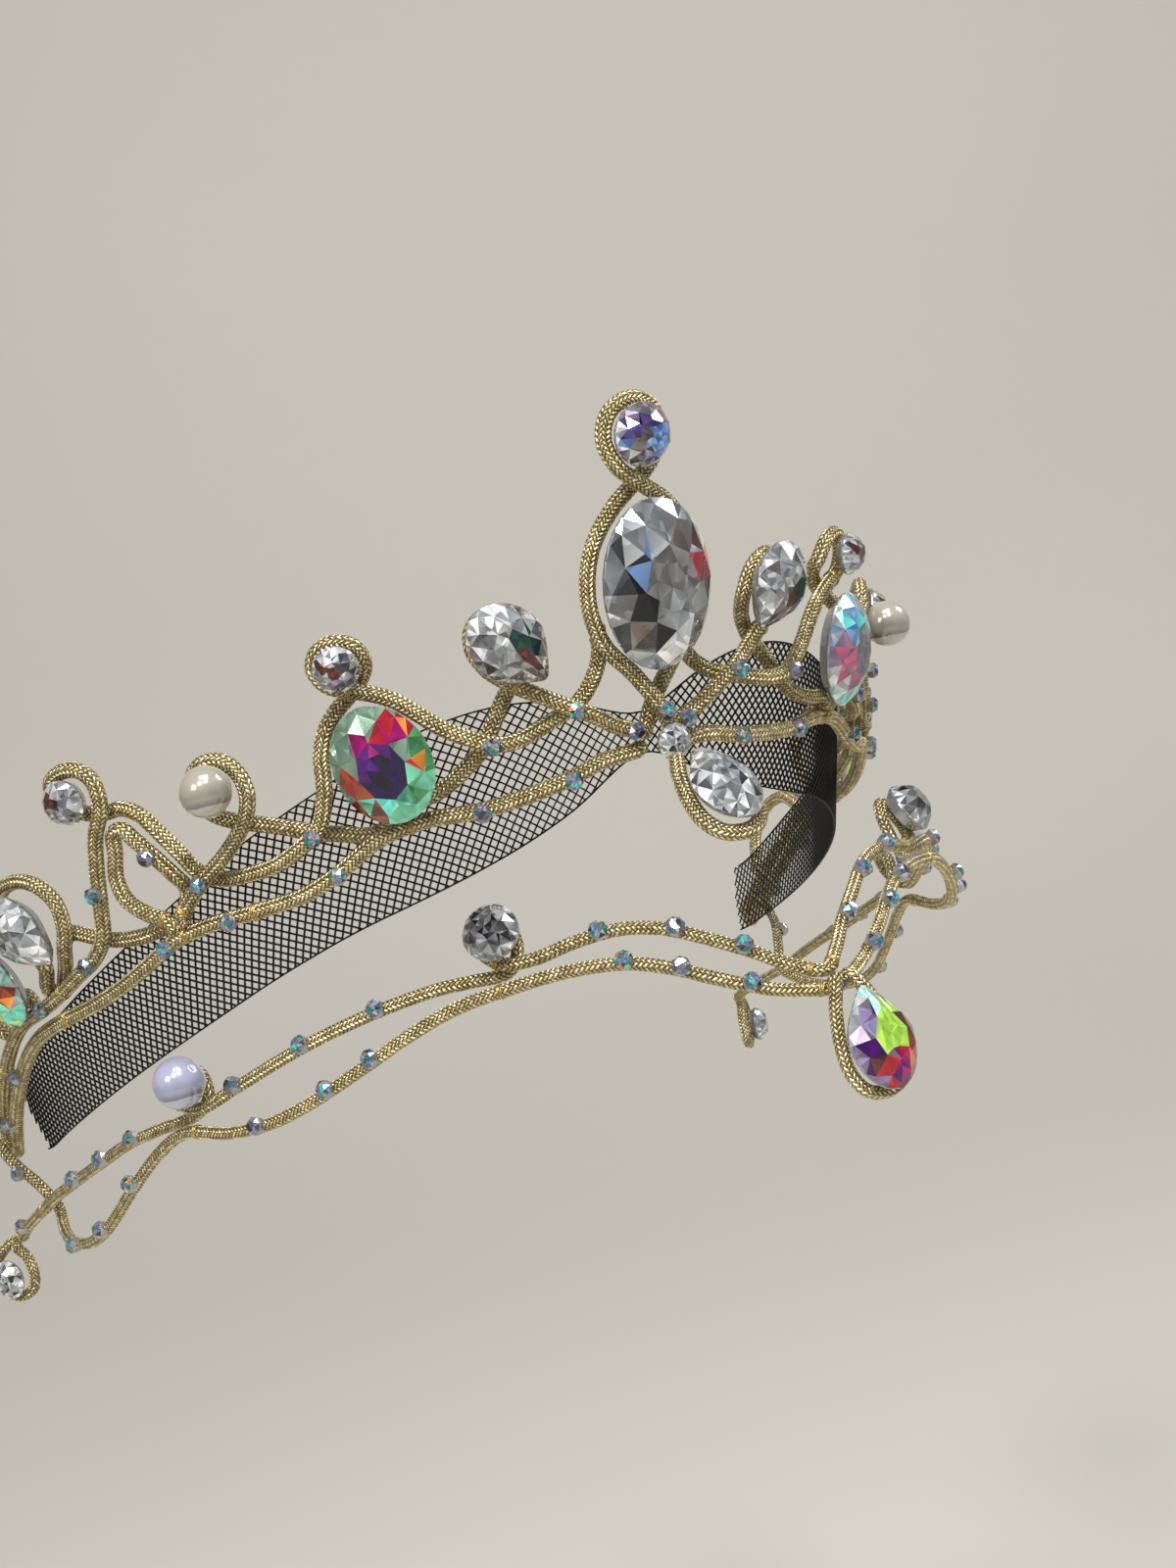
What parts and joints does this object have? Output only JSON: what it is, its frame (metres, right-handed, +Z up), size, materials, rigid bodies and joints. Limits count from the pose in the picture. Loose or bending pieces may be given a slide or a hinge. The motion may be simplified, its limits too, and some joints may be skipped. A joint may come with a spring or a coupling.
{
  "type": "ballet tiara",
  "caption": "Ballet tiara of looped gold cord with set crystals, coloured crystals and pearls, a black net band behind it and a forehead garland of thin cord with a hanging drop",
  "frame": {"origin": "the middle of the wearer's head, on the mirror plane, at the height of the small stone at the foot of the tall centre loop", "axes": "+X to the wearer's left, +Y to the back of the head, +Z up; the tiara faces -Y"},
  "size_m": [0.179, 0.1696, 0.1346],
  "materials": {
    "gold_cord": "metallic gold braid over wire",
    "clear_crystal": "cut, foil backed",
    "colour_crystal": "cut, iridescent coated, foil backed",
    "pearl": "pearlescent",
    "black_net": "open crin net"
  },
  "bodies": {
    "root": {"brow_drop": "colour_crystal", "brow_drop_loop": "gold_cord", "brow_lower": "gold_cord", "brow_upper": "gold_cord", "centre_chaton": "clear_crystal", "centre_drop": "clear_crystal", "centre_drop_loop": "gold_cord", "centre_loop": "gold_cord", "centre_oval": "clear_crystal", "centre_round": "clear_crystal", "left_brow_pearl": "pearl", "left_brow_round": "clear_crystal", "left_colour_oval": "colour_crystal", "left_crown_pearl": "pearl", "left_end_drop": "clear_crystal", "left_end_drop_loop": "gold_cord", "left_end_loop": "gold_cord", "left_foot_band": "gold_cord", "left_front_pear": "clear_crystal", "left_front_swag": "gold_cord", "left_oval_round": "clear_crystal", "left_peak_link": "gold_cord", "left_peak_round": "clear_crystal", "left_peak_stem": "gold_cord", "left_pear_stem": "gold_cord", "left_pearl_stem": "gold_cord", "left_side_swag": "gold_cord", "left_tip_oval": "colour_crystal", "left_tip_oval_loop": "gold_cord", "left_tip_pear": "clear_crystal", "left_tip_stem": "gold_cord", "net_band": "black_net", "right_brow_pearl": "pearl", "right_brow_round": "clear_crystal", "right_colour_oval": "colour_crystal", "right_crown_pearl": "pearl", "right_end_drop": "clear_crystal", "right_end_drop_loop": "gold_cord", "right_end_loop": "gold_cord", "right_foot_band": "gold_cord", "right_front_pear": "clear_crystal", "right_front_swag": "gold_cord", "right_oval_round": "clear_crystal", "right_peak_link": "gold_cord", "right_peak_round": "clear_crystal", "right_peak_stem": "gold_cord", "right_pear_stem": "gold_cord", "right_pearl_stem": "gold_cord", "right_side_swag": "gold_cord", "right_tip_oval": "colour_crystal", "right_tip_oval_loop": "gold_cord", "right_tip_pear": "clear_crystal", "right_tip_stem": "gold_cord"}
  },
  "joints": []
}
